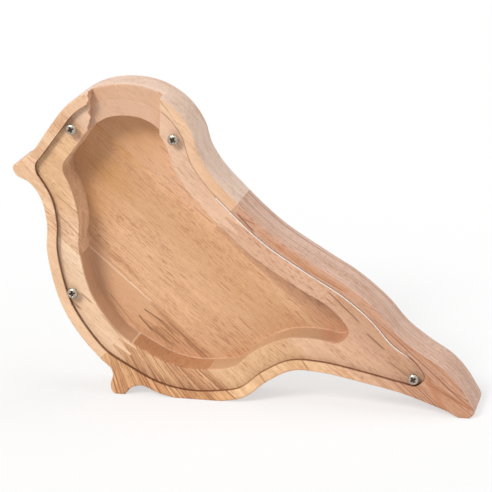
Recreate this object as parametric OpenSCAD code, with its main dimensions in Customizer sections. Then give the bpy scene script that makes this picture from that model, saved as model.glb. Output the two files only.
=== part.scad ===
// Bird-shaped money box: one thick block of finger-jointed wood staves, milled
// from the front, with a clear panel screwed into a rebate over the cavity.
// X runs from beak to tail, Y from front to back and Z up. The origin is in the
// middle of the base. Outlines are drawn in the X-Z plane, from the beak tip.

/* [Block] */
// Length from beak tip to tail end
body_l = 240; // [200:1:300]
// Height from the base to the crown of the head
body_h = 165; // [140:1:200]
// Thickness of the wood, front to back
body_t = 28; // [25:0.5:45]
// How far the cavity is milled in below the ledge
cavity_depth = 18; // [8:0.5:20]

/* [Rim, ledge and clear panel] */
// Width of the rim around the panel
rim_w = 5.6; // [4:0.1:7]
// Width of the ledge that the panel lies on
ledge_w = 11.1; // [9.5:0.1:13]
// Thickness of the clear panel, and so the depth of its rebate
panel_t = 3; // [2:0.5:4]
// Gap between the panel and the rebate all round
panel_gap = 0.5; // [0.3:0.1:1]

/* [Coin slot] */
// Length of the slot over the crown of the head
slot_l = 37.5; // [28:0.5:42]
// Height of the way behind the panel that a coin slides through
slot_gap = 4.5; // [4.2:0.1:6]
// Lean of the slot's end walls towards the tail, in degrees
slot_lean = 4.5; // [0:0.5:6]

/* [Staves] */
// Fall of the grain towards the tail, in degrees
grain_fall = 41; // [35:1:48]
// Width of the middle stave, between its two glue lines
stave_w = 54; // [45:1:60]
// Distance of the lower glue line from the corner under the beak
first_glue_line = 78; // [72:1:84]
// Length of a finger in the end joints
finger_l = 10.5; // [6:0.5:14]
// Distance from one finger to the next
finger_pitch = 4.7; // [3.5:0.1:8]
// Blunt width of a finger's tip
finger_tip = 0.7; // [0.4:0.1:1.2]
// Width of the flat shoulder beside the glue line
finger_shoulder = 1.4; // [0.5:0.1:3]
// Least width of plain board between the last finger and the block's edge
finger_land = 3; // [2:0.5:6]
// Place of the lower stave's end joint along the grain
lower_joint_at = 25.5; // [20:0.5:34]
// Place of the upper stave's end joint along the grain
upper_joint_at = 24.5; // [18:0.5:30]

/* [Screws] */
// Diameter of the shank over its thread
screw_d = 3; // [2.5:0.1:3.5]
// Length of the shank under the head
screw_l = 12; // [10:0.5:16]
// Diameter of the pan head
head_d = 5.6; // [5:0.1:7]
// Height of the pan head
head_h = 1.9; // [1.5:0.1:2.5]
// Width of each arm of the cross recess
recess_w = 0.9; // [0.6:0.1:1.1]
// Length across the cross recess
recess_l = 3.1; // [2.4:0.1:3.6]
// Depth of the cross recess
recess_depth = 1.2; // [0.8:0.1:1.3]
// Clearance of the shank in its pilot hole, on the diameter
pilot_clearance = 0.1; // [0.1:0.05:0.3]
// Clearance of the shank in the panel's hole, on the diameter
panel_hole_clearance = 0.4; // [0.2:0.1:0.8]

/* [Hidden] */
$fn = 64;

// Length of one flat along a curved outline
curve_step = 2;
// Extra reach of a cut past the surface it opens
past = 1;
// Reach of a stave's region, past the block on every side
reach = body_l + body_h;
// Length of the cone at a screw's point
point_l = 2.5;
// Blunt end of a screw's point
point_d = 0.4;
// Room left under a screw's point in its pilot hole
point_room = 1;
// How far the slot's walls run down from its middle, to end inside the cavity
slot_run_down = 15;
// Height of a pan head's straight rim, as a share of the head
rim_share = 0.35;
// Angle of one step along a pan head's dome
dome_step = 15;

// The head's height outside the panel keeps the part's middle on the origin
front_y = (head_h - body_t) / 2;
back_y = (head_h + body_t) / 2;
ledge_y = front_y + panel_t;
slot_y = ledge_y + slot_gap;
floor_y = ledge_y + cavity_depth;

// Knots of the block's outline, in the order in which they are joined. The
// rebate and the cavity follow all of them but the foot, tail end and beak.
breast = [[8, 113], [11.5, 109.5], [14.5, 104], [17, 92], [16.5, 77],
          [18.5, 64], [23.5, 47], [33, 31], [44, 18.5]];
foot = [[49.5, 13], [50, 10.5], [48.5, 5], [50, 0.5], [55, -0.5], [60, 4], [64.5, 5.5]];
belly = [[74.5, 2], [92, -1], [108, 0], [119.5, 2.5], [133.5, 13], [146.5, 19.5], [160, 19.5]];
under_tail = [[180, 16], [203, 11], [225, 3.5]];
tail_end = [[236.5, -0.5], [240, 2.5], [236.5, 11], [226.5, 24]];
back = [[213, 33], [202, 41.5], [192.5, 52.5], [176.5, 66], [158.5, 77], [135.5, 92],
        [116, 110], [105, 122], [99.5, 131], [96, 142.5]];
head = [[88, 154], [74.5, 162.5], [58.5, 165], [45, 163], [31.5, 155.5],
        [20.5, 142.5], [10, 128.5]];
beak = [[3.5, 123.5], [0, 121], [1, 117]];
// Where the inner curves pass over the foot, between breast and belly
foot_line = [56, 11];

// Middle of the slot on the ledge
slot_knot = [60, 152];
// Each screw's place, and the turn of its recess in degrees
brow = [[32.5, 142], 20];
nape = [[86, 139], 62];
breast_side = [[30, 54.5], 8];
tail = [[209, 19.5], 35];
screws = [brow, nape, breast_side, tail];

// Rebate's end round the tail screw, from that screw, and its end at the beak
rebate_tail = [for (d = [[0.5, -4], [6, 1], [2.5, 7.5]]) tail[0] + d];
rebate_beak = [[12.5, 123], [12.5, 118.5]];
// Cavity's rounded end towards the tail, and its end behind the beak
cavity_tail = [[169.5, 35], [175, 40.5], [172, 47]];
cavity_beak = [[26, 120.5]];

// ---- Curves -----------------------------------------------------------

function knot(path, i) = path[(i + len(path)) % len(path)];

// Direction of the curve at a knot, weighted towards the nearer neighbour
function heading(path, i) =
    let (before = knot(path, i) - knot(path, i - 1),
         after = knot(path, i + 1) - knot(path, i),
         a = norm(before), b = norm(after))
    (before * b / a + after * a / b) / (a + b);

// Points of one cubic span, from a knot to just before the next
function span(path, i) =
    let (p = knot(path, i), q = knot(path, i + 1), h = norm(q - p),
         m = heading(path, i) * h, n = heading(path, i + 1) * h,
         steps = max(2, ceil(h / curve_step)))
    [for (k = [0 : steps - 1]) let (t = k / steps, u = 1 - t)
        p * u * u * (1 + 2 * t) + m * t * u * u
        + q * t * t * (3 - 2 * t) - n * t * t * u];

// Closed curve that flows through all the knots
function flow(path) = [for (i = [0 : len(path) - 1]) each span(path, i)];

// A run of a list's items, given as its first and last index
function run_of(list, run) = [for (i = [run[0] : run[1]]) list[i]];

// Knots moved inwards, square to their curve. They run anticlockwise.
function moved(path, gap) =
    [for (i = [0 : len(path) - 1])
        let (h = heading(path, i)) path[i] + gap * [-h[1], h[0]] / norm(h)];

// A dense curve moved inwards
function inset(path, gap) =
    [for (i = [0 : len(path) - 1])
        let (along = knot(path, i + 1) - knot(path, i - 1))
        path[i] + gap * [-along[1], along[0]] / norm(along)];

// Real place of a knot: the outline is stretched to the length and the height
drawn_curve = flow(concat(breast, foot, belly, under_tail, tail_end, back, head, beak));
drawn_start = min([for (p = drawn_curve) p[0]]);
drawn_l = max([for (p = drawn_curve) p[0]]) - drawn_start;
drawn_h = max([for (p = drawn_curve) p[1]]);
function place(p) = [(p[0] - drawn_start) * body_l / drawn_l - body_l / 2,
                     p[1] * body_h / drawn_h];
function placed(path) = [for (p = path) place(p)];

// The inner curves' guide is the outline without foot, tail end and beak
guide_low = concat(breast, [foot_line], belly);
guide = concat(guide_low, under_tail, back, head);
back_start = len(guide_low) + len(under_tail);
guide_end = len(guide) - 1;
// Runs of the guide that the inner curves follow, below and above their ends
rebate_low = [1, back_start - 2];
rebate_high = [back_start + 1, guide_end];
cavity_low = [2, len(guide_low) - 1];
cavity_high = [back_start + 3, guide_end - 1];
rim_line = moved(guide, rim_w);
ledge_line = moved(guide, rim_w + ledge_w);

body_outline = placed(drawn_curve);
rebate_outline = placed(flow(concat(
    run_of(rim_line, rebate_low), rebate_tail,
    run_of(rim_line, rebate_high), rebate_beak)));
cavity_outline = placed(flow(concat(
    run_of(ledge_line, cavity_low), cavity_tail,
    run_of(ledge_line, cavity_high), cavity_beak)));

// ---- Staves -----------------------------------------------------------

// A point given along the grain and across it, from the corner under the beak
function on_grain(along, across) =
    [along * cos(grain_fall) + across * sin(grain_fall) - body_l / 2,
     across * cos(grain_fall) - along * sin(grain_fall)];

// The same turned round: a placed point, as lengths along and across the grain
function in_grain(p) =
    let (x = p[0] + body_l / 2)
    [x * cos(grain_fall) - p[1] * sin(grain_fall),
     x * sin(grain_fall) + p[1] * cos(grain_fall)];

// Width of an outer stave at its end joint, from the glue line to the edge
function joint_w(at, start, out) =
    min([for (p = body_outline)
        let (g = in_grain(p), w = out * (g[1] - start))
        if (w > 0 && abs(g[0] - at) < finger_l) w]);

// Zigzag of an end joint, as points along and across the grain. It starts at a
// glue line with a flat shoulder, runs outwards (out 1 is up, -1 is down) and
// ends in a straight butt, so that no finger lies along the block's edge.
function fingers(at, start, out) =
    let (back = at - finger_l / 2, tip = at + finger_l / 2, half = finger_pitch / 2,
         room = joint_w(at, start, out) - finger_shoulder - finger_land,
         count = floor(room / finger_pitch))
    concat([[back, start]],
        [for (i = [0 : 1 : count - 1])
            let (first = finger_shoulder + i * finger_pitch)
            each [[back, start + out * first],
                  [back, start + out * (first + finger_tip)],
                  [tip, start + out * (first + half)],
                  [tip, start + out * (first + half + finger_tip)]]],
        [[back, start + out * (finger_shoulder + count * finger_pitch)],
         [back, start + out * outer_w]]);

// Region of an outer stave before (side -1) or past (side 1) its end joint
function outer_region(at, start, out, side) =
    let (zigzag = fingers(at, start, out), last = zigzag[len(zigzag) - 1])
    [for (p = concat([[side * reach, start]], zigzag, [[side * reach, last[1]]]))
        on_grain(p[0], p[1])];

upper_glue_line = first_glue_line + stave_w;
// The outer staves' regions reach past the block's edge
outer_w = 2 * stave_w;

// ---- Solids -----------------------------------------------------------

// Extrudes an X-Z drawing from front plane y0 to back plane y1
module slab(y0, y1) {
    translate([0, y1, 0]) rotate([90, 0, 0]) linear_extrude(y1 - y0) children();
}

// The way that the coins take: over the crown, behind the panel, to the cavity
module slot_cut() {
    p = place(slot_knot);
    translate([p[0], front_y - past, p[1]]) rotate([0, slot_lean, 0])
        translate([-slot_l / 2, 0, -slot_run_down])
            cube([slot_l, slot_y - front_y + past, body_h]);
}

module pilot_hole(k) {
    p = place(k[0]);
    translate([p[0], ledge_y - past, p[1]]) rotate([-90, 0, 0])
        cylinder(d = screw_d + pilot_clearance, h = screw_l - panel_t + point_room + past);
}

// The whole block, as milled and sanded flat along its base
module block() {
    difference() {
        slab(front_y, back_y) polygon(body_outline);
        translate([-reach, -reach, -reach]) cube([2 * reach, 2 * reach, reach]);
        slab(front_y - past, ledge_y) polygon(rebate_outline);
        slab(ledge_y - past, floor_y) polygon(cavity_outline);
        slot_cut();
        for (k = screws) pilot_hole(k);
    }
}

module stave(region) {
    intersection() {
        block();
        slab(-reach, reach) polygon(region);
    }
}

module stave_breast() {
    color("burlywood") stave(outer_region(lower_joint_at, first_glue_line, -1, -1));
}

module stave_foot() {
    color("peru") stave(outer_region(lower_joint_at, first_glue_line, -1, 1));
}

module stave_middle() {
    color("tan") stave([
        on_grain(-reach, first_glue_line), on_grain(reach, first_glue_line),
        on_grain(reach, upper_glue_line), on_grain(-reach, upper_glue_line)]);
}

module stave_crown() {
    color("wheat") stave(outer_region(upper_joint_at, upper_glue_line, 1, -1));
}

module stave_tail() {
    color("sandybrown") stave(outer_region(upper_joint_at, upper_glue_line, 1, 1));
}

module clear_panel() {
    color("aliceblue", 0.3) difference() {
        slab(front_y, ledge_y) polygon(inset(rebate_outline, panel_gap));
        for (k = screws) {
            p = place(k[0]);
            translate([p[0], front_y - past, p[1]]) rotate([-90, 0, 0])
                cylinder(d = screw_d + panel_hole_clearance, h = panel_t + 2 * past);
        }
    }
}

// A pan-head wood screw at rest, its head on the panel's face
module screw(k) {
    p = place(k[0]);
    rim_h = head_h * rim_share;
    color("silver") translate([p[0], front_y, p[1]]) rotate([90, 0, 0]) rotate(k[1])
        difference() {
            union() {
                translate([0, 0, point_l - screw_l])
                    cylinder(d = screw_d, h = screw_l - point_l + rim_h);
                translate([0, 0, -screw_l]) cylinder(d1 = point_d, d2 = screw_d, h = point_l);
                rotate_extrude() polygon(concat(
                    [[0, 0], [head_d / 2, 0]],
                    [for (a = [0 : dome_step : 90])
                        [head_d / 2 * cos(a), rim_h + (head_h - rim_h) * sin(a)]]));
            }
            for (a = [0, 90]) rotate(a)
                translate([-recess_l / 2, -recess_w / 2, head_h - recess_depth])
                    cube([recess_l, recess_w, recess_depth + past]);
        }
}

module screw_brow() { screw(brow); }
module screw_nape() { screw(nape); }
module screw_breast() { screw(breast_side); }
module screw_tail() { screw(tail); }

stave_breast();
stave_foot();
stave_middle();
stave_crown();
stave_tail();
clear_panel();
screw_brow();
screw_nape();
screw_breast();
screw_tail();
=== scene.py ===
"""Looks of the bird-shaped money box: its wood staves, clear panel and screws."""

import math

import bmesh
import bpy
import numpy as np
from mathutils import Matrix, Vector
from mathutils.bvhtree import BVHTree

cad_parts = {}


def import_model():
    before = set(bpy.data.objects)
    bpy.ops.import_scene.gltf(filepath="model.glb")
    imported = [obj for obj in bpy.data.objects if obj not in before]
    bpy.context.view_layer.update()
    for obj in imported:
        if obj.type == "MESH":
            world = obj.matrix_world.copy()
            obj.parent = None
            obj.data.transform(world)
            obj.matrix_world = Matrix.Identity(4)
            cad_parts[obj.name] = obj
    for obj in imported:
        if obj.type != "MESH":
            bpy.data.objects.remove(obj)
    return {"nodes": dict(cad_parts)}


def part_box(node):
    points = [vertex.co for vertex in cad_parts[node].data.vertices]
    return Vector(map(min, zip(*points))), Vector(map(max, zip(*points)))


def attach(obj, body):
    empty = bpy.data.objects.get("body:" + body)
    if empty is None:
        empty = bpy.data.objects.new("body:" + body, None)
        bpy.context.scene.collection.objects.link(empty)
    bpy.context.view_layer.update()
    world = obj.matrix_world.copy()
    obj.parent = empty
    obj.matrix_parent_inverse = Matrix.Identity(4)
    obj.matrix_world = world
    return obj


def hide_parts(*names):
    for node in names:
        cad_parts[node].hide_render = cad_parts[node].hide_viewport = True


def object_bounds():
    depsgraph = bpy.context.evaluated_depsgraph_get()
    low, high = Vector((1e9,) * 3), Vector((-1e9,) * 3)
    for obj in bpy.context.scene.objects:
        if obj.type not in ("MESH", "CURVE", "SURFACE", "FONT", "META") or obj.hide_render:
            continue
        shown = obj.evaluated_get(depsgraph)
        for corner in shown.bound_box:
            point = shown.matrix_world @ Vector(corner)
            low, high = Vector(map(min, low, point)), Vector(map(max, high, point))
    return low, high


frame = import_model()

# ---- Pieces, and their places in the frame ------------------------------------------

MM = 0.001

# Each stave's material slot
STAVES = {
    "stave_breast": "breast_wood",
    "stave_foot": "foot_wood",
    "stave_middle": "middle_wood",
    "stave_crown": "crown_wood",
    "stave_tail": "tail_wood",
}
# Each screw's body, and the turn of its recess in degrees
SCREWS = {
    "screw_brow": ("brow_screw", 20),
    "screw_nape": ("nape_screw", 62),
    "screw_breast": ("breast_screw", 8),
    "screw_tail": ("tail_screw", 35),
}


def screw_axis(node):
    """Where a screw's axis crosses the panel: the middle of its node's box."""
    low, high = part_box(node)
    return (low.x + high.x) / 2, (low.z + high.z) / 2


cad_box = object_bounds()
beak_x = cad_box[0].x
panel_low, panel_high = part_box("clear_panel")
face_y = panel_low.y
ledge_y = panel_high.y
back_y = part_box("stave_middle")[1].y
screw_axes = {node: screw_axis(node) for node in SCREWS}

# ---- Sizes: wood --------------------------------------------------------------------

# Fall of the grain from the beak's corner towards the tail
GRAIN_FALL = math.radians(41)
# Sway of the grain's lines: its rate along them, and its width in millimetres
SWAY_RATE = 0.018
SWAY_WIDTH = 1.6
# How far a stave's shift moves its noise along, through and across the grain, per unit
SHIFT_STEPS = (7, 3, 11)
# Depths from front to back, in millimetres: the front, the ledge and the cavity's floor
FACE_DEPTH = face_y / MM
LEDGE_DEPTH = ledge_y / MM
CAVITY_DEPTH = 18.0
FLOOR_DEPTH = LEDGE_DEPTH + CAVITY_DEPTH
# Depths between which the rim's look ends, the rebate's wall takes on its painted shade and
# loses it again, and the ledge's look ends
RIM_END = (FACE_DEPTH + 0.6, FACE_DEPTH + 2.0)
REBATE_START = (FACE_DEPTH + 0.3, FACE_DEPTH + 0.6)
REBATE_END = (LEDGE_DEPTH - 0.4, LEDGE_DEPTH)
LEDGE_END = (LEDGE_DEPTH + 0.5, LEDGE_DEPTH + 3.0)
# Share along Y of a face's direction: a wall's up to the first, a flat face's from the second
WALL_TO_FLAT = (0.3, 0.8)
# A point inside the block, and how far from it the plane of an outer side lies at least
BLOCK_HEART = (-0.03, 0.0, 0.07)
OUTER_REACH = 10 * MM
# The coin slot from left to right, and the sheet's lowest place there. Its edge is open to
# the slot, and the painted shade in the gap beside it is fainter by this share
SLOT_SPAN = (-0.079, -0.041)
SLOT_LOWEST = 0.14
SLOT_OPENS = 0.7
# Places along the grain, in millimetres, of the upper row's end joint and of the lower
# end joint's seam on the cavity's wall, with the seam's half width and its soft edge
UPPER_JOINT = 24.5
WALL_SEAM = 27.0
SEAM_HALF = 0.3
SEAM_SOFT = 0.25
# A dark mark across the upper row's end joint, on both its staves: its start and end along
# the grain, its place across it, its half width, its strength and its lean
JOINT_MARK = (UPPER_JOINT - 2, UPPER_JOINT + 10, 154.7, 0.5, 0.9, -0.12)
# The length over which a streak fades at each end, in millimetres, and the share of its
# half width that is fully dark
STREAK_FADE = 3.0
STREAK_CORE = 0.4
# Height and soft edge of the painted highlight, a pale line at the foot of the cavity's
# walls, in millimetres
CORNER_HEIGHT = 1.4
CORNER_SOFT = 0.4
# How deep the grain is felt, and how strongly it shows
GRAIN_RELIEF = 0.08 * MM
GRAIN_STRENGTH = 0.3

# ---- Sizes: staves ------------------------------------------------------------------

# Rounding of the outer edges, and the share of it at the rebate, the ledge and the slot
ROUND_OUTER = 1.1 * MM
ROUND_SEGMENTS = 4
SHARE_REBATE = 0.25
SHARE_LEDGE = 0.4
SHARE_SLOT = 0.35
# Least depth of an outer side, as a share of the block's, and most depth of the rebate's
# wall, as a share of the rebate's
OUTER_DEPTH = 0.7
REBATE_DEPTH = 1.2
# Distances within which two points are one, and within which two faces are glued
MERGED = 0.001 * MM
GLUED = 0.01 * MM
# Angles up to which two faces share a plane, and from which an edge is sharp
SAME_PLANE = math.radians(0.3)
SHARP = math.radians(30)
# Reach of a pilot hole's edge round its axis
HOLE_REACH = 2.2 * MM
# Least share along an axis of a direction that runs straight along it
FLAT = 0.99
# Material numbers that mark a stave's own faces and its glued ones while it is made
OWN_FACE, GLUE_FACE = range(2)
# The coin slot's wall nearest the beak: where it lies, and how far it faces to the right
TORN_SPAN = (-0.081, -0.0765)
TORN_FACING = 0.7
# Its torn front edge: height of a point, and how far it stands out into the slot, in
# millimetres
TORN_EDGE = ((160.9, 0.2), (159.6, -0.5), (158.6, 0.7), (157.3, 0.3), (156.4, -0.6),
             (154.0, 0.1), (152.2, 0.5), (150.5, -0.9), (149.2, 0.8), (148.0, 0.9),
             (146.3, -0.6), (145.0, 0.3), (143.4, -0.7), (141.8, -0.2))

# ---- Sizes: clear panel -------------------------------------------------------------

# Rounding of the lit edge
PANEL_POLISH = 0.4 * MM
POLISH_SEGMENTS = 2
# Room between the sheet's back and the ledge, so that the two never share a plane
PANEL_ROOM = 0.04 * MM
# Material numbers of the sheet's face, and of its edge where it faces the light, with a pale
# painted highlight, faces away, with dark brown painted shade, or is open to the coin slot,
# with a faint brown line of painted shade
CLEAR, LIT_EDGE, SHADED_EDGE, OPEN_EDGE = range(4)
# Direction that the lit edge faces, how nearly it has to, and its reach from left to right.
# Up to there, past the slot, the nape's edge looks open where it faces this way enough
LIT_SIDE = Vector((0.6, 0.0, 0.8))
LIT_FACING = 0.9
LIT_SPAN = (-0.012, 0.086)
NAPE_FACING = 0.5
# Depths past the face between which the edge changes from its front look to its back look
EDGE_FADE = (0.4 * MM, 1.5 * MM)
# Saw marks per metre along X, Y and Z
SAW_RATES = (900, 2500, 900)
ACRYLIC_BENDING = 1.49

# ---- Sizes: screws ------------------------------------------------------------------

HEAD_RADIUS = 2.8 * MM
HEAD_HEIGHT = 1.9 * MM
HEAD_RIM = 0.35 * HEAD_HEIGHT
# The rim's lower end: its height as a share of the rim's, and its radius as one of the head's
RIM_FOOT_HEIGHT = 0.15
RIM_FOOT_RADIUS = 0.97
# Angle at which the dome starts beside its pole, in degrees, and its number of rings
DOME_START = 88.5
DOME_RINGS = 40
RECESS_LENGTH = 3.1 * MM
RECESS_WIDTH = 0.9 * MM
RECESS_DEPTH = 1.2 * MM
RECESS_FLARE = 0.08 * MM
# Width of the slopes at the ends and along the sides of the recess's arms
RECESS_END_SLOPE = 0.3 * MM
RECESS_SIDE_SLOPE = 0.25 * MM
# Share of the recess's depth that is lost at the arms' ends
RECESS_SHALLOWER = 0.4
THREAD_RADIUS = 1.5 * MM
CORE_RADIUS = 1.1 * MM
THREAD_PITCH = 1.35 * MM
# Half the tooth's width as a share of the pitch, and the rings in each turn of the thread
TOOTH_HALF = 0.27
PITCH_RINGS = 9
# Radius of the neck under the head as a share of the thread's, and depths at which the
# neck has shrunk to the core and the thread starts
NECK_RADIUS = 1.02
NECK_END = 0.3 * MM
THREAD_START = 0.4 * MM
SHANK_LENGTH = 12 * MM
POINT_LENGTH = 2.5 * MM
POINT_RADIUS = 0.2 * MM
ROUND_STEPS = 96
# Rubbing marks on the plating, per metre
RUBBING_RATE = 1400.0

# ---- Sizes: floor, light and camera -------------------------------------------------

FLOOR_REACH = 6.0
# Least share of its own light that the floor shows, and how far the shadow's patch reaches
FLOOR_GLOW = 0.6
SHADOW_REACH = (0.13, 0.40)
WORLD_LIGHT = 0.30
# Each lamp's direction that it shines from, its strength and its spread in degrees
LAMPS = {
    "key": ((-0.40, -0.80, 0.76), 2.15, 20),
    "top": ((0.5, 0.15, 1.0), 0.95, 60),
}
# Where the camera stands, where it looks and which way is up for it
CAMERA_PLACE = Vector((0.2617, -1.0946, 0.4270))
CAMERA_FORWARD = Vector((-0.22236, 0.92958, -0.29401))
CAMERA_UP = Vector((-0.05389, 0.28938, 0.95570))
CAMERA_NEAREST = 0.01
# The sensor's width in millimetres, and the focal length and the frame's width in pixels
SENSOR = 36.0
FOCAL_PIXELS = 2300.0
FRAME_PIXELS = 492.0
HALF_PIXEL = 0.5

# ---- Shader sockets -----------------------------------------------------------------


class Wire:
    """A shader socket. A sum, difference, product or quotient with it adds a Math node."""

    def __init__(self, tree, end=None):
        self.tree, self.end = tree, end

    def node(self, kind, settings=None, inputs=None, output=0):
        """Adds a node of a kind: first its settings, then its sockets' values or links."""
        made = self.tree.nodes.new("ShaderNode" + kind)
        for key, value in (settings or {}).items():
            setattr(made, key, value)
        for key, value in (inputs or {}).items():
            if isinstance(value, Wire):
                self.tree.links.new(value.end, made.inputs[key])
            else:
                made.inputs[key].default_value = value
        return Wire(self.tree, made.outputs[output] if made.outputs else None)

    def beside(self, output):
        """Another output of the same node."""
        return Wire(self.tree, self.end.node.outputs[output])

    def math(self, operation, a, b=0.0):
        """A Math node on two wires or numbers."""
        return self.node("Math", {"operation": operation}, {0: a, 1: b})

    def __add__(self, other):
        return self.math("ADD", self, other)

    def __sub__(self, other):
        return self.math("SUBTRACT", self, other)

    def __rsub__(self, other):
        return self.math("SUBTRACT", other, self)

    def __mul__(self, other):
        return self.math("MULTIPLY", self, other)

    def __truediv__(self, other):
        return self.math("DIVIDE", self, other)

    def __rtruediv__(self, other):
        return self.math("DIVIDE", other, self)

    __radd__ = __add__
    __rmul__ = __mul__

    def rise(self, low, high):
        """0 below low and 1 above high, with a smooth step between them."""
        return self.node("MapRange", {"interpolation_type": "SMOOTHSTEP"}, {
            "Value": self, "From Min": low, "From Max": high})

    def near(self, middle, half, soft):
        """1 within half of a middle, and down to 0 over soft more."""
        return 1 - self.math("ABSOLUTE", self - middle).rise(half, half + soft)

    def between(self, low, high, soft):
        """1 from low to high, and down to 0 over soft more on both sides."""
        return self.near((low + high) / 2, (high - low) / 2, soft)


def colour(red, green, blue):
    """An sRGB colour from 0 to 255 as linear red, green, blue and 1."""
    parts = [c / 255 for c in (red, green, blue)]
    linear = [p / 12.92 if p <= 0.04045 else ((p + 0.055) / 1.055) ** 2.4 for p in parts]
    return (*linear, 1.0)


def blend(share, low, high):
    """Two colours mixed by a share, which is a wire.

    The node's sockets for colours share their names with others, so they go by number.
    """
    return share.node("Mix", {"data_type": "RGBA"}, {0: share, 6: low, 7: high}, output=2)


def new_material(name):
    """A material with an empty node tree, and a wire to start its nodes from."""
    material = bpy.data.materials.new(name)
    material.use_nodes = True
    material.node_tree.nodes.clear()
    return material, Wire(material.node_tree)


def new_object(name, data):
    """An object for some data, linked into the scene."""
    made = bpy.data.objects.new(name, data)
    bpy.context.scene.collection.objects.link(made)
    return made


# ---- Wood ---------------------------------------------------------------------------


class Board:
    """A stave's material while it is painted, with places in millimetres on its board.

    along runs down the grain from the beak's corner, across lies square to it in
    the panel's plane, and through runs from front to back. A mask is 1 in its
    place: rim on the front face, deep past the ledge, wall on the cavity's walls,
    side on the block's outer sides, gap on the rebate's wall beside the sheet, which
    gets painted shade, and shallow on all that isn't deep.
    """

    def __init__(self, name, base, shift, fan=0.0, fan_from=(0.0, 0.0)):
        self.material, self.start = new_material(name)
        self.body = base
        self.spot = self.start.node("TexCoord", output="Object")
        self.lay_grain(shift, fan, fan_from)
        self.mask_faces()

    def lay_grain(self, shift, fan, fan_from):
        """Sets along, across, through and the vector that the noises are drawn on.

        A stave's shift takes it to its own place in the noise. With a fan, the
        lines run apart with the distance along from a place.
        """
        start = self.start
        corner = -beak_x / MM
        grain = start.node("Mapping", {}, {
            "Vector": self.spot, "Rotation": (0, -GRAIN_FALL, 0), "Scale": (1 / MM,) * 3,
            "Location": (corner * math.cos(GRAIN_FALL), 0, corner * math.sin(GRAIN_FALL))})
        self.along = start.node("SeparateXYZ", {}, {"Vector": grain})
        self.through, self.across = self.along.beside("Y"), self.along.beside("Z")
        line = self.across
        if fan:
            origin_along, origin_across = fan_from
            spread = (self.along - origin_along) * fan + 1.0
            line = (line - origin_across) / spread + origin_across
        sway = start.node("TexNoise", {"noise_dimensions": "1D"}, {
            "W": self.along * SWAY_RATE + shift, "Scale": 1.0, "Detail": 1.0})
        line = line + (sway - 0.5) * SWAY_WIDTH
        along_step, through_step, across_step = (shift * step for step in SHIFT_STEPS)
        self.vector = start.node("CombineXYZ", {}, {
            "X": self.along + along_step, "Y": self.through + through_step,
            "Z": line + across_step})

    def mask_faces(self):
        """Sets the masks, from a place's depth and from where its face looks.

        A face is steep where it isn't flat to the panel, and an outer side is a
        steep face that looks away from the block's heart.
        """
        start = self.start
        facing = start.node("NewGeometry", output="Normal")
        along_y = start.node("SeparateXYZ", {}, {"Vector": facing}, output="Y")
        steep = 1 - start.math("ABSOLUTE", along_y).rise(*WALL_TO_FLAT)
        away = start.node("VectorMath", {"operation": "SUBTRACT"}, {
            0: self.spot, 1: BLOCK_HEART})
        outward = start.node("VectorMath", {"operation": "DOT_PRODUCT"}, {
            0: facing, 1: away}, output="Value").rise(0.0, OUTER_REACH)
        place = start.node("SeparateXYZ", {}, {"Vector": self.spot})
        in_slot = place.between(*SLOT_SPAN, MM) * place.beside("Z").rise(
            SLOT_LOWEST - MM, SLOT_LOWEST + MM)
        beside_sheet = self.through.rise(*REBATE_START) * (1 - self.through.rise(*REBATE_END))
        self.side = steep * outward
        self.rim = (1 - self.through.rise(*RIM_END)) * (1 - self.side)
        self.deep = self.through.rise(*LEDGE_END) * (1 - self.side)
        self.shallow = 1 - self.deep
        self.wall = steep * self.deep
        # Painted shade: the rebate's wall beside the sheet, fainter in the coin slot
        self.gap = steep * (1 - outward) * beside_sheet * (1 - in_slot * SLOT_OPENS)

    def noise(self, along, through, across, detail, rough=0.55):
        """Noise drawn out along the grain, from its rates per millimetre each way."""
        stretched = self.vector.node("Mapping", {}, {
            "Vector": self.vector, "Scale": (along, through, across)})
        return stretched.node("TexNoise", {"noise_dimensions": "3D"}, {
            "Vector": stretched, "Scale": 1.0, "Detail": detail, "Roughness": rough})

    def streak(self, start, end, across, half, lean=0.0):
        """A mark drawn out along the grain, between two places along it, soft all round."""
        off = self.across - across - (self.along - start) * lean
        inset = STREAK_FADE / 2
        ends = self.along.between(start + inset, end - inset, STREAK_FADE)
        return off.near(0.0, half * STREAK_CORE, half) * ends

    def paint(self, share, tint):
        """Lays a colour over the body by a share."""
        self.body = blend(share, self.body, tint)

    def paint_streaks(self, where, tint, marks):
        """Paints streaks where a mask is 1.

        Each mark gives its start, end and place across in millimetres on the board,
        its half width, its strength, and how far it leans across per step along.
        """
        for start, end, across, half, strength, lean in marks:
            self.paint(self.streak(start, end, across, half, lean) * where * strength, tint)

    def front_streaks(self, tint, marks):
        """Paints streaks on all faces but the walls and the outer sides."""
        self.paint_streaks((1 - self.side) * (1 - self.wall), tint, marks)

    def paint_corner_highlight(self):
        """Painted highlight: a pale line where the cavity's floor turns up into its walls."""
        line = self.through.between(FLOOR_DEPTH - CORNER_HEIGHT, FLOOR_DEPTH, CORNER_SOFT)
        share = self.along.rise(5, 20) * 0.55 + 0.3
        self.paint(self.wall * line * share, colour(254, 226, 196))

    def paint_wall_seam(self):
        """A pale line down the wall where the lower end joint comes out."""
        self.paint(self.wall * self.along.near(WALL_SEAM, SEAM_HALF, SEAM_SOFT) * 0.85,
                   colour(255, 232, 206))

    def paint_top_shade(self):
        """Painted shade: a browner floor at the cavity's upper end, where its walls shade it."""
        upper_end = 1 - self.along.rise(-45, -14)
        on_floor = self.through.near(FLOOR_DEPTH, 3, 3) * (1 - self.side)
        self.paint(on_floor * upper_end * 0.8, colour(198, 143, 80))

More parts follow.
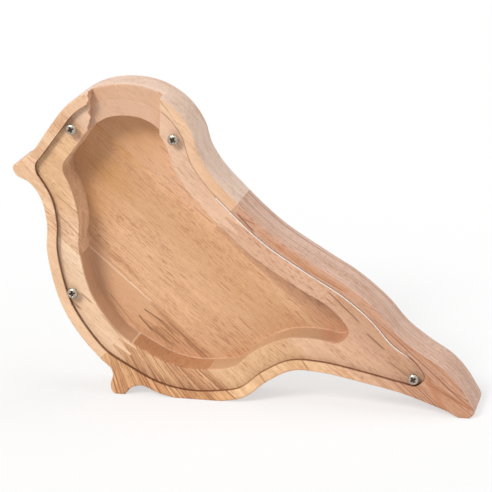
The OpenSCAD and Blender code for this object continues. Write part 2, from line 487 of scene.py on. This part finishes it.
    def finish(self, dark, pore, bands, lines, pores):
        """Adds soft bands, fine lines and pore dashes by their strengths, then the shader.

        The cutter's marks on the walls and the painted shade in the gap beside the sheet
        go on last.
        """
        # Painted highlight at the foot of the cavity's walls
        self.paint_corner_highlight()
        band = self.noise(0.007, 0.12, 0.13, detail=4).rise(0.38, 0.66)
        line = self.noise(0.03, 0.7, 1.3, detail=4, rough=0.7).rise(0.40, 0.66)
        patches = self.noise(0.03, 0.06, 0.08, detail=2).rise(0.35, 0.65) * 0.5 + 0.5
        short = self.noise(0.28, 2.4, 3.4, detail=1, rough=0.5).rise(0.58, 0.66)
        long = self.noise(0.09, 1.8, 3.3, detail=2, rough=0.6).rise(0.57, 0.65)
        cutter = self.noise(0.30, 0.22, 0.8, detail=3, rough=0.6).rise(0.42, 0.62)
        dashes = short.math("MAXIMUM", short, long) * patches
        self.paint(band * bands, dark)
        self.paint(line * patches * lines, dark)
        self.paint(dashes * pores, pore)
        self.paint(cutter * self.wall * 0.3, dark)
        # Painted shade in the narrow gap between the sheet and the rebate's wall
        self.paint(self.gap * 0.8, colour(104, 62, 38))
        bump = line.node("Bump", {}, {
            "Height": 1 - dashes * 0.8 - line * 0.2, "Strength": GRAIN_STRENGTH,
            "Distance": GRAIN_RELIEF})
        shader = line.node("BsdfPrincipled", {}, {
            "Base Color": self.body, "Roughness": line * 0.12 + 0.5, "Normal": bump,
            "Specular IOR Level": 0.25})
        shader.node("OutputMaterial", {}, {"Surface": shader})
        return self.material


def breast_wood():
    """Pale stave at the breast, palest in a band beside its glue line."""
    board = Board("breast_wood", colour(236, 198, 160), 3.1)
    pale_band = board.across.rise(64, 70) * board.along.near(-20, 24, 8)
    glue_line = board.streak(-26, 21.5, 77.6, 0.55) * board.deep * (1 - board.wall)
    board.paint(pale_band * board.shallow, colour(243, 218, 186))
    board.paint(board.rim, colour(238, 200, 164))
    board.paint((1 - board.rim) * board.shallow * 0.5, colour(250, 216, 182))
    board.paint(board.deep, colour(222, 174, 132))
    board.paint(board.wall * 0.8, colour(198, 160, 126))
    board.paint(board.side * 0.85, colour(236, 206, 184))
    board.front_streaks(colour(128, 92, 66), [
        (-9.5, -2.5, 62.4, 0.45, 0.8, 0.0), (-10, -4.5, 55.6, 0.5, 0.8, 0.0),
        (1, 27, 64.9, 0.35, 0.6, -0.18), (5, 24, 61.2, 0.35, 0.5, -0.16)])
    board.paint(glue_line * 0.85, colour(252, 224, 190))
    board.paint_wall_seam()
    return board.finish(colour(214, 168, 128), colour(184, 132, 92),
                        bands=0.35, lines=0.35, pores=0.5)


def foot_wood():
    """Darker stave at the foot, with brown streaks that spread from its fingers."""
    board = Board("foot_wood", colour(228, 180, 135), 8.7, fan=0.02, fan_from=(25.0, 77.0))
    past_joint = board.along.rise(18, 30) * (1 - board.deep * 0.6)
    flame = board.noise(0.012, 0.1, 0.8, detail=3, rough=0.6).rise(0.46, 0.62)
    thin = board.noise(0.020, 0.2, 2.5, detail=2, rough=0.55).rise(0.53, 0.60)
    board.paint(board.rim, colour(230, 181, 134))
    board.paint(board.deep, colour(222, 172, 130))
    board.paint(board.wall, colour(204, 148, 102))
    board.paint(board.side * 0.6, colour(212, 172, 142))
    board.paint_wall_seam()
    board.paint(flame * 0.55 * past_joint, colour(184, 118, 76))
    board.paint(thin * 0.8 * past_joint, colour(146, 86, 50))
    board.front_streaks(colour(154, 98, 56), [
        (34, 62, 75.4, 0.7, 0.8, -0.02), (46, 66, 74.0, 0.45, 0.7, -0.05),
        (27, 43, 73.2, 0.45, 0.8, 0.03), (33, 46, 70.2, 0.45, 0.8, 0.0),
        (30, 42, 67.6, 0.4, 0.7, -0.06), (36, 50, 72.0, 0.35, 0.6, -0.03),
        (27, 34, 75.9, 0.4, 0.7, 0.0), (31, 40, 69.0, 0.35, 0.6, -0.03)])
    board.front_streaks(colour(128, 84, 50), [
        (19, 31, 71.5, 0.6, 0.95, 0.157), (19, 31, 66.9, 0.6, 0.95, -0.157),
        (27, 40, 72.9, 0.7, 0.7, -0.05), (29, 44, 66.0, 0.6, 0.7, 0.06)])
    return board.finish(colour(196, 146, 100), colour(140, 94, 60),
                        bands=0.3, lines=0.4, pores=0.6)


def middle_wood():
    """Long stave between the glue lines: warm on the cavity's floor, yellow under the tail."""
    board = Board("middle_wood", colour(238, 196, 150), 1.3)
    to_tail = board.along.rise(60, 80)
    lower_part = 1 - board.across.rise(112, 124)
    # Painted shade: a darker band on the cavity's floor near the upper glue line, where the
    # cavity's upper wall shades it
    floor_shade_band = board.across.near(118, 5, 7) * board.deep
    ledge_by_glue = board.across.near(128, 3, 3) * board.shallow
    inner_wall = blend(board.along.rise(-20, 50), colour(254, 224, 188), colour(204, 172, 135))
    board.paint(board.along.rise(-50, -34), colour(245, 208, 174))
    board.paint(board.along.rise(-15, 15), colour(236, 196, 160))
    board.paint(board.rim, colour(241, 203, 167))
    board.paint(board.deep, colour(231, 184, 142))
    board.paint(board.along.rise(40, 75) * board.deep, colour(221, 179, 137))
    board.paint(to_tail * lower_part * board.shallow, colour(236, 196, 150))
    board.paint(to_tail * board.rim, colour(246, 206, 162))
    board.paint(board.along.rise(75, 110) * board.deep * 0.8, colour(194, 165, 131))
    # Painted shade along the floor near the upper glue line
    board.paint(floor_shade_band * 0.7, colour(206, 158, 112))
    # Painted shade on the floor at the cavity's upper end
    board.paint_top_shade()
    board.paint(ledge_by_glue * 0.5, colour(224, 182, 154))
    board.paint(board.wall * 0.9, inner_wall)
    board.paint(board.side * 0.85, colour(236, 206, 184))
    board.front_streaks(colour(150, 104, 66), [
        (59, 68.5, 104.2, 0.35, 0.9, -0.08), (57, 67, 88.4, 0.35, 0.9, 0.1),
        (97, 103.5, 118.5, 0.5, 0.9, -0.25), (86, 92, 97.0, 0.5, 0.8, -0.25),
        (-53, -38, 94.8, 0.4, 0.6, 0.0), (-46, -30, 87.4, 0.4, 0.6, -0.08),
        (-44, -34, 82.6, 0.35, 0.5, 0.05), (16, 21, 96.4, 0.3, 0.9, 0.0),
        (22, 26, 100.2, 0.3, 0.9, 0.0), (-28, 6, 82.5, 0.35, 0.4, 0.0),
        (-25, 10, 90.0, 0.3, 0.4, 0.0), (40, 47, 112.0, 0.3, 0.7, 0.0),
        (28, 34, 108.0, 0.3, 0.7, 0.0), (4, 12, 106.0, 0.3, 0.6, 0.0)])
    return board.finish(colour(208, 160, 118), colour(178, 118, 76),
                        bands=0.6, lines=0.4, pores=0.8)


def crown_wood():
    """Stave over the head, pinkish on its ledge and yellower along its rim."""
    board = Board("crown_wood", colour(236, 198, 167), 5.9)
    rim = blend(board.along.rise(-25, 10), colour(241, 202, 166), colour(230, 188, 150))
    back_half = board.through.rise(-3, 3) * (1 - board.side)
    board.paint(board.rim, rim)
    board.paint(board.deep, colour(217, 176, 145))
    board.paint(back_half, colour(228, 181, 140))
    # Painted shade on the floor at the cavity's upper end
    board.paint_top_shade()
    board.paint(board.side * 0.9, colour(246, 220, 202))
    board.front_streaks(colour(128, 66, 40), [JOINT_MARK])
    board.front_streaks(colour(158, 112, 80), [
        (-12, 2, 137.0, 0.35, 0.6, 0.0), (4, 16, 133.5, 0.35, 0.6, 0.0),
        (-30, -22, 146.0, 0.3, 0.7, 0.0), (-52, -44, 140.5, 0.3, 0.5, 0.0)])
    return board.finish(colour(214, 168, 136), colour(178, 130, 100),
                        bands=0.4, lines=0.4, pores=0.65)


def tail_wood():
    """Stave of the tail: orange streaks along its rim and grey-pink lines on its side."""
    board = Board("tail_wood", colour(220, 177, 146), 12.4)
    under_tail = (1 - board.across.rise(138, 150)) * board.along.rise(80, 95)
    beside_sheet = board.streak(88, 150, 156.5, 4.2, -0.1) * (1 - board.rim) * board.shallow
    tail_end = board.along.rise(115, 150)
    far_half = board.along.rise(90, 130)
    flame = board.noise(0.010, 0.1, 0.32, detail=3, rough=0.6).rise(0.50, 0.62)
    rim_lines = board.noise(0.008, 0.1, 1.7, detail=2, rough=0.55).rise(0.53, 0.60)
    side_lines = board.noise(0.003, 0.45, 0.03, detail=3, rough=0.6).rise(0.53, 0.58)
    board.paint(board.along.rise(70, 120), colour(205, 159, 130))
    board.paint(board.rim * 0.8, colour(206, 161, 136))
    board.paint(under_tail * 0.6, colour(238, 196, 160))
    board.paint(board.deep, colour(214, 166, 126))
    board.paint(beside_sheet * 0.7, colour(198, 156, 120))
    board.paint(board.side * 0.9, colour(236, 201, 182))
    board.front_streaks(colour(184, 118, 78), [
        (150, 168, 156.5, 1.6, 0.7, -0.36), (155, 176, 155.8, 1.2, 0.7, 0.22)])
    board.paint_streaks(board.rim, colour(196, 128, 88), [
        (36, 52, 155.3, 1.0, 0.5, 0.03), (48, 70, 156.2, 1.4, 0.6, 0.09),
        (66, 90, 157.6, 1.2, 0.6, 0.22), (132, 150, 163.5, 1.2, 0.4, 0.1),
        (94, 132, 158.5, 1.0, 0.4, 0.1)])
    board.front_streaks(colour(128, 80, 54), [
        (70, 88, 157.8, 0.35, 0.7, 0.22), (83, 105, 155.0, 0.4, 0.9, -0.05),
        (112, 124, 152.0, 0.45, 0.9, 0.0), (130, 142, 148.6, 0.4, 0.7, 0.1),
        (153, 177, 155.4, 0.35, 0.6, 0.2), (160, 176, 160.0, 0.3, 0.6, 0.2)])
    board.front_streaks(colour(128, 66, 40), [
        JOINT_MARK, (UPPER_JOINT + 2, UPPER_JOINT + 8, 154.9, 0.4, 0.8, 0.3)])
    board.paint(flame * tail_end * board.rim * 0.45, colour(184, 130, 94))
    board.paint(rim_lines * board.rim * far_half * 0.75, colour(140, 88, 60))
    board.paint(side_lines * board.side * 0.5, colour(146, 106, 90))
    return board.finish(colour(200, 150, 114), colour(158, 102, 72),
                        bands=0.4, lines=0.45, pores=0.75)


WOODS = {
    "breast_wood": breast_wood,
    "foot_wood": foot_wood,
    "middle_wood": middle_wood,
    "crown_wood": crown_wood,
    "tail_wood": tail_wood,
}

# ---- Staves -------------------------------------------------------------------------


def loose_mesh(node):
    """A node's mesh with its doubled vertices merged, as a bmesh."""
    mesh = bmesh.new()
    mesh.from_mesh(frame["nodes"][node].data)
    bmesh.ops.remove_doubles(mesh, verts=mesh.verts, dist=MERGED)
    bmesh.ops.recalc_face_normals(mesh, faces=mesh.faces)
    return mesh


def round_by_weight(piece, name, width, segments):
    """A Bevel on the edges that carry a weight."""
    bevel = piece.modifiers.new(name, "BEVEL")
    bevel.limit_method = "WEIGHT"
    bevel.width = width
    bevel.segments = segments
    bevel.use_clamp_overlap = False
    return bevel


def depth_of(face):
    """How far a face runs from front to back."""
    levels = [v.co.y for v in face.verts]
    return max(levels) - min(levels)


def by_a_screw(point):
    """Whether a point lies at a screw's pilot hole."""
    return any(math.hypot(point.x - x, point.z - z) < HOLE_REACH for x, z in screw_axes.values())


def torn_wall(face):
    """Whether a face is the coin slot's wall nearest the beak."""
    low, high = TORN_SPAN
    return face.normal.x > TORN_FACING and low < face.calc_center_median().x < high


def split_at(edge, height):
    """Splits an edge at a height, and returns the new point."""
    one, two = edge.verts
    share = (height - one.co.z) / (two.co.z - one.co.z)
    return bmesh.utils.edge_split(edge, one, share)[1]


def crosses(points, height):
    """Whether some of the points lie over a height and others under it."""
    levels = [v.co.z for v in points]
    return min(levels) < height < max(levels)


def tear(mesh):
    """Moves points of the torn wall's front edge in and out, and returns them.

    Every point is joined to the one straight behind it, so that the wall is a row of
    narrow faces from the front to the slot's floor.
    """
    torn = set()
    for height, out in TORN_EDGE:
        level = height * MM
        wall = next(f for f in mesh.faces if torn_wall(f) and crosses(f.verts, level))
        edges = [e for e in wall.edges if crosses(e.verts, level)]
        points = sorted((split_at(e, level) for e in edges), key=lambda v: v.co.y)
        bmesh.ops.connect_vert_pair(mesh, verts=points)
        points[0].co.x += out * MM
        torn.add(points[0])
    return torn


def mark_glue_faces(mesh, node):
    """Marks the faces of a node's mesh that lie on another stave, facing it."""
    for other in STAVES:
        if other == node:
            continue
        beside = loose_mesh(other)
        tree = BVHTree.FromBMesh(beside)
        for face in mesh.faces:
            spot, facing, _, _ = tree.find_nearest(face.calc_center_median(), GLUED)
            if spot is not None and facing.dot(face.normal) < -FLAT:
                face.material_index = GLUE_FACE
        beside.free()


def rounding(edge):
    """Share of the outer rounding that an edge of a stave gets.

    It is 0 for a glue face's edges, for edges that run from front to back, for hollow
    or blunt ones and at the pilot holes. The others go by the deeper of their faces.
    """
    faces = edge.link_faces
    along_y = abs((edge.verts[0].co - edge.verts[1].co).normalized().y)
    if any(face.material_index == GLUE_FACE for face in faces) or along_y > FLAT:
        return 0.0
    if edge.calc_face_angle_signed() < SHARP or by_a_screw(edge.verts[0].co):
        return 0.0
    deep = max(depth_of(face) for face in faces)
    if deep > OUTER_DEPTH * (back_y - face_y):
        return 1.0
    if deep < REBATE_DEPTH * (ledge_y - face_y):
        return SHARE_REBATE
    level = max(v.co.y for v in edge.verts)
    return SHARE_LEDGE if abs(level - ledge_y) < GLUED else SHARE_SLOT


def stave(node, material):
    """A stave with its edges rounded, but not along its glue lines.

    The node's flat faces are joined back into whole faces. A face that lies on
    another stave is a glue face, and no edge of a glue face is rounded.
    """
    mesh = loose_mesh(node)
    mark_glue_faces(mesh, node)
    bmesh.ops.dissolve_limit(mesh, angle_limit=SAME_PLANE, verts=mesh.verts,
                             edges=mesh.edges, delimit={"MATERIAL"})
    torn = tear(mesh) if node == "stave_crown" else set()
    weights = mesh.edges.layers.float.new("bevel_weight_edge")
    for edge in mesh.edges:
        if len(edge.link_faces) == 2 and not torn.intersection(edge.verts):
            edge[weights] = rounding(edge)
        edge.smooth = edge.calc_face_angle(0) < SHARP or edge[weights] > 0
    for face in mesh.faces:
        face.smooth = abs(face.normal.y) < FLAT and face.material_index == OWN_FACE
        face.material_index = OWN_FACE
    data = bpy.data.meshes.new("wood_" + node)
    mesh.to_mesh(data)
    mesh.free()
    data.materials.append(material)
    piece = new_object("wood_" + node, data)
    bevel = round_by_weight(piece, "rounding", ROUND_OUTER, ROUND_SEGMENTS)
    bevel.harden_normals = True
    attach(piece, "wooden_block")
    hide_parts(node)


for node, slot in STAVES.items():
    stave(node, WOODS[slot]())

# ---- Clear panel --------------------------------------------------------------------


def acrylic(name, tint, front_alpha, back_alpha, roughness):
    """Clear sheet, with how much it hides at its front face and at its back."""
    material, start = new_material(name)
    spot = start.node("TexCoord", output="Object")
    sawn = spot.node("Mapping", {}, {"Vector": spot, "Scale": SAW_RATES})
    marks = sawn.node("TexNoise", {"noise_dimensions": "3D"}, {"Vector": sawn, "Scale": 1.0})
    depth = spot.node("SeparateXYZ", {}, {"Vector": spot}, output="Y").rise(
        face_y + EDGE_FADE[0], face_y + EDGE_FADE[1])
    shader = start.node("BsdfPrincipled", {}, {
        "Base Color": tint, "Roughness": marks * roughness + roughness / 2,
        "Alpha": depth * (back_alpha - front_alpha) + front_alpha, "IOR": ACRYLIC_BENDING})
    shader.node("OutputMaterial", {}, {"Surface": shader})
    return material


def sheet_light_paint(face):
    """Which look a face of the sheet gets: clear, or an edge with painted light or shade."""
    spot = face.calc_center_median()
    facing = face.normal.dot(LIT_SIDE)
    if abs(face.normal.y) > FLAT:
        return CLEAR
    if SLOT_SPAN[0] < spot.x < SLOT_SPAN[1] and spot.z > SLOT_LOWEST:
        return OPEN_EDGE
    if SLOT_SPAN[1] <= spot.x <= LIT_SPAN[0] and facing > NAPE_FACING:
        return OPEN_EDGE
    if LIT_SPAN[0] < spot.x < LIT_SPAN[1] and facing > LIT_FACING:
        return LIT_EDGE
    return SHADED_EDGE


def clear_sheet():
    """The panel with whole flat faces, and a sawn edge rounded where lit. The edge has a painted
    highlight where it faces the light, painted shade where it faces away, and a faint line
    of painted shade where it is open.
    """
    mesh = loose_mesh("clear_panel")
    bmesh.ops.dissolve_limit(mesh, angle_limit=SAME_PLANE, verts=mesh.verts, edges=mesh.edges)
    weights = mesh.edges.layers.float.new("bevel_weight_edge")
    for face in mesh.faces:
        face.smooth = abs(face.normal.y) < FLAT
        face.material_index = sheet_light_paint(face)
    for edge in mesh.edges:
        turn = edge.calc_face_angle(0)
        lit = any(f.material_index == LIT_EDGE for f in edge.link_faces)
        edge.smooth = turn < SHARP
        edge[weights] = float(turn > SHARP and lit)
    for vertex in mesh.verts:
        if abs(vertex.co.y - ledge_y) < GLUED:
            vertex.co.y -= PANEL_ROOM
    data = bpy.data.meshes.new("clear_sheet")
    mesh.to_mesh(data)
    mesh.free()
    # In the order of the material numbers
    data.materials.append(acrylic("clear_face", colour(250, 252, 252), 0.012, 0.012, 0.04))
    # A pale painted highlight on the edge that faces the light, dark brown painted shade on the
    # edge that faces away, and a faint brown line of painted shade where the edge is open
    data.materials.append(acrylic("clear_edge_painted_highlight", colour(250, 244, 238), 0.9, 0.7, 0.3))
    data.materials.append(acrylic("clear_edge_painted_shade", colour(112, 58, 34), 0.8, 0.06, 0.3))
    data.materials.append(acrylic("clear_edge_open", colour(190, 152, 118), 0.45, 0.1, 0.2))
    piece = new_object("clear_sheet", data)
    bevel = round_by_weight(piece, "polish", PANEL_POLISH, POLISH_SEGMENTS)
    # The rounding carries the painted highlight
    bevel.material = LIT_EDGE
    # Light passes the sheet whole, so its edge throws no dark line on the ledge
    piece.visible_shadow = False
    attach(piece, "panel")
    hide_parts("clear_panel")


clear_sheet()

# ---- Screws -------------------------------------------------------------------------


def screw_steel():
    """Nickel-plated steel, with painted shade and dirt in the recess, and faint rubbing marks.
    """
    material, start = new_material("screw_steel")
    hollow = start.node("Attribute", {"attribute_name": "hollow"}, output="Fac")
    spot = start.node("TexCoord", output="Object")
    rubbed = spot.node("TexNoise", {"noise_dimensions": "3D"}, {
        "Vector": spot, "Scale": RUBBING_RATE, "Detail": 3.0})
    plate = blend(rubbed, colour(200, 192, 178), colour(146, 136, 122))
    # The recess is painted dark brown and less metallic: painted shade, with some dirt
    body = blend(hollow, plate, colour(70, 42, 24))
    shader = start.node("BsdfPrincipled", {}, {
        "Base Color": body, "Metallic": 1 - hollow * 0.8,
        "Roughness": rubbed * 0.2 + hollow * 0.3 + 0.18})
    shader.node("OutputMaterial", {}, {"Surface": shader})
    return material


def point_taper(height):
    """1 along the shank, and straight down to 0 along its point."""
    return np.clip((height + SHANK_LENGTH) / POINT_LENGTH, 0, 1)


def screw_profile():
    """A screw's radius and height over the panel, from its crown down to its point.

    The head is a dome of radius R cos a and height rim + (H - rim) sin a, for a from
    its pole down to 0, on a short rim. A neck leads to the core, whose radius shrinks
    straight along the point.
    """
    dome = np.radians(np.linspace(DOME_START, 0, DOME_RINGS))
    down = np.arange(-THREAD_START, -SHANK_LENGTH, -THREAD_PITCH / PITCH_RINGS)
    down = np.append(down, -SHANK_LENGTH)
    core = POINT_RADIUS + (CORE_RADIUS - POINT_RADIUS) * point_taper(down)
    radius = np.concatenate([
        HEAD_RADIUS * np.cos(dome), [HEAD_RADIUS, HEAD_RADIUS * RIM_FOOT_RADIUS],
        [THREAD_RADIUS * NECK_RADIUS, CORE_RADIUS], core])
    height = np.concatenate([
        HEAD_RIM + (HEAD_HEIGHT - HEAD_RIM) * np.sin(dome), [HEAD_RIM * RIM_FOOT_HEIGHT, 0.0],
        [0.0, -NECK_END], down])
    return radius, height


def thread(height, angle):
    """How far the thread stands out from the core.

    It is a tooth of the height over the pitch plus the share of a turn. The tooth
    grows over the first pitch and shrinks along the point.
    """
    phase = (height / THREAD_PITCH + angle / (2 * np.pi)) % 1
    tooth = np.clip(1 - np.abs(phase - 0.5) / TOOTH_HALF, 0, 1)
    grow = np.clip((-THREAD_START - height) / THREAD_PITCH, 0, 1) * point_taper(height)
    return (THREAD_RADIUS - CORE_RADIUS) * tooth * grow


def ramp(room, soft):
    """1 where there is room, 0 where there is none, and straight between over soft."""
    return np.clip(room / soft + 0.5, 0, 1)


def arm(lengthways, sideways):
    """1 in one arm of the recess: the product of a ramp at its ends and one at its sides."""
    ends = ramp(RECESS_LENGTH / 2 - np.abs(lengthways), RECESS_END_SLOPE)
    sides = ramp(RECESS_WIDTH / 2 - np.abs(sideways) + RECESS_FLARE, RECESS_SIDE_SLOPE)
    return ends * sides


def screw_surface():
    """The angles of a ring's steps, and the radius, height and hollowness of every ring's.

    Two crossed arms sink the dome towards a floor that rises straight from the
    recess's depth at the axis to the arms' ends.
    """
    angles = np.linspace(0, 2 * np.pi, ROUND_STEPS, endpoint=False)
    radius, height = (np.repeat(part[:, None], ROUND_STEPS, 1) for part in screw_profile())
    radius = radius + thread(height, angles)
    east, north = radius * np.cos(angles), radius * np.sin(angles)
    hollow = np.maximum(arm(east, north), arm(north, east))
    hollow[DOME_RINGS:] = 0
    share = np.clip(radius / (RECESS_LENGTH / 2), 0, 1)
    recess_floor = HEAD_HEIGHT - RECESS_DEPTH * (1 - RECESS_SHALLOWER * share)
    height = height + hollow * np.minimum(recess_floor - height, 0)
    return angles, radius, height, hollow


def ringed_mesh(name, rings, first_pole, last_pole):
    """A mesh of rings joined by quads, closed by a fan of triangles at each pole.

    Point i of ring r has number r n + i. Its quad runs to ring r + 1 and to point
    i + 1, where point n is point 0 again.
    """
    rows, count = rings.shape[:2]
    spots = np.concatenate([rings.reshape(-1, 3), [first_pole, last_pole]])
    row, step = np.meshgrid(np.arange(rows - 1), np.arange(count), indexing="ij")
    after = (step + 1) % count
    quads = np.stack([row * count + step, (row + 1) * count + step,
                      (row + 1) * count + after, row * count + after], axis=2).reshape(-1, 4)
    step, after = step[0], after[0]
    first_fan = np.stack([np.full(count, rows * count), step, after], 1)
    last = (rows - 1) * count
    last_fan = np.stack([np.full(count, rows * count + 1), last + after, last + step], 1)
    data = bpy.data.meshes.new(name)
    data.from_pydata(spots.tolist(), [], quads.tolist() + first_fan.tolist() + last_fan.tolist())
    data.validate()
    data.shade_smooth()
    return data


def screw(node, body, turn, material):
    """A pan-head wood screw: the surface turned about the node's axis, with closed poles."""
    angles, radius, height, hollow = screw_surface()
    around = angles + math.radians(turn)
    centre_x, centre_z = screw_axes[node]
    rings = np.stack([centre_x + radius * np.cos(around), face_y - height,
                      centre_z + radius * np.sin(around)], axis=2)
    crown = (centre_x, face_y - (HEAD_HEIGHT - RECESS_DEPTH), centre_z)
    tip = (centre_x, face_y + SHANK_LENGTH, centre_z)
    data = ringed_mesh(node + "_threaded", rings, crown, tip)
    sunk = data.attributes.new("hollow", "FLOAT", "POINT")
    sunk.data.foreach_set("value", np.append(hollow.ravel(), [1.0, 0.0]))
    data.materials.append(material)
    piece = new_object(node + "_threaded", data)
    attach(piece, body)
    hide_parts(node)


plated = screw_steel()
for node, (body, turn) in SCREWS.items():
    screw(node, body, turn, plated)

# ---- Floor, light and camera --------------------------------------------------------


def looked_at(start):
    """1 for rays from the camera, off a mirror or through glass."""
    seen = start.node("LightPath", output="Is Camera Ray")
    mirrored, through_glass = seen.beside("Is Glossy Ray"), seen.beside("Is Transmission Ray")
    return start.math("MINIMUM", seen + mirrored + through_glass, 1.0)


def floor_material():
    """Matt white that keeps the shadow near the object and is plain white further out."""
    material, start = new_material("pale_floor")
    spot = start.node("TexCoord", output="Object")
    away = spot.node("VectorMath", {"operation": "LENGTH"}, {0: spot}, output="Value")
    share = away.rise(*SHADOW_REACH) * (1 - FLOOR_GLOW) + FLOOR_GLOW
    matt = start.node("BsdfDiffuse", {}, {"Color": colour(248, 248, 248)})
    glow = start.node("Emission", {}, {"Color": (1, 1, 1, 1), "Strength": 1.0})
    mixed = start.node("MixShader", {}, {0: share * looked_at(start), 1: matt, 2: glow})
    mixed.node("OutputMaterial", {}, {"Surface": mixed})
    return material


def floor():
    """A flat square under the base."""
    reach = FLOOR_REACH
    corners = [(-reach, -reach, 0), (reach, -reach, 0), (reach, reach, 0), (-reach, reach, 0)]
    data = bpy.data.meshes.new("floor")
    data.from_pydata(corners, [], [(0, 1, 2, 3)])
    data.materials.append(floor_material())
    new_object("floor", data)


def world():
    """White all round: full white to the camera and mirrors, and softer as light."""
    made = bpy.data.worlds.new("studio")
    bpy.context.scene.world = made
    made.use_nodes = True
    made.node_tree.nodes.clear()
    start = Wire(made.node_tree)
    strength = looked_at(start) * (1 - WORLD_LIGHT) + WORLD_LIGHT
    back = start.node("Background", {}, {"Color": (1, 1, 1, 1), "Strength": strength})
    back.node("OutputWorld", {}, {"Surface": back})


def sun(name, coming_from, strength, spread):
    """Even light from a direction, with shadows as soft as its spread in degrees."""
    data = bpy.data.lights.new(name, "SUN")
    data.energy = strength
    data.angle = math.radians(spread)
    new_object(name, data).rotation_euler = (
        -Vector(coming_from)).to_track_quat("-Z", "Y").to_euler()


def camera():
    """The camera stands to the right of the panel, above it, and leans a little."""
    forward = CAMERA_FORWARD.normalized()
    right = forward.cross(CAMERA_UP).normalized()
    up = right.cross(forward)
    turn = Matrix((right, up, -forward)).transposed().to_4x4()
    data = bpy.data.cameras.new("camera")
    data.sensor_width = SENSOR
    data.lens = SENSOR * FOCAL_PIXELS / FRAME_PIXELS
    data.shift_x = -HALF_PIXEL / FRAME_PIXELS
    data.shift_y = HALF_PIXEL / FRAME_PIXELS
    data.clip_start = CAMERA_NEAREST
    made = new_object("camera", data)
    made.matrix_world = Matrix.Translation(CAMERA_PLACE) @ turn
    bpy.context.scene.camera = made


floor()
world()
for name, (coming_from, strength, spread) in LAMPS.items():
    sun(name, coming_from, strength, spread)
camera()
bpy.context.scene.view_settings.view_transform = "Standard"
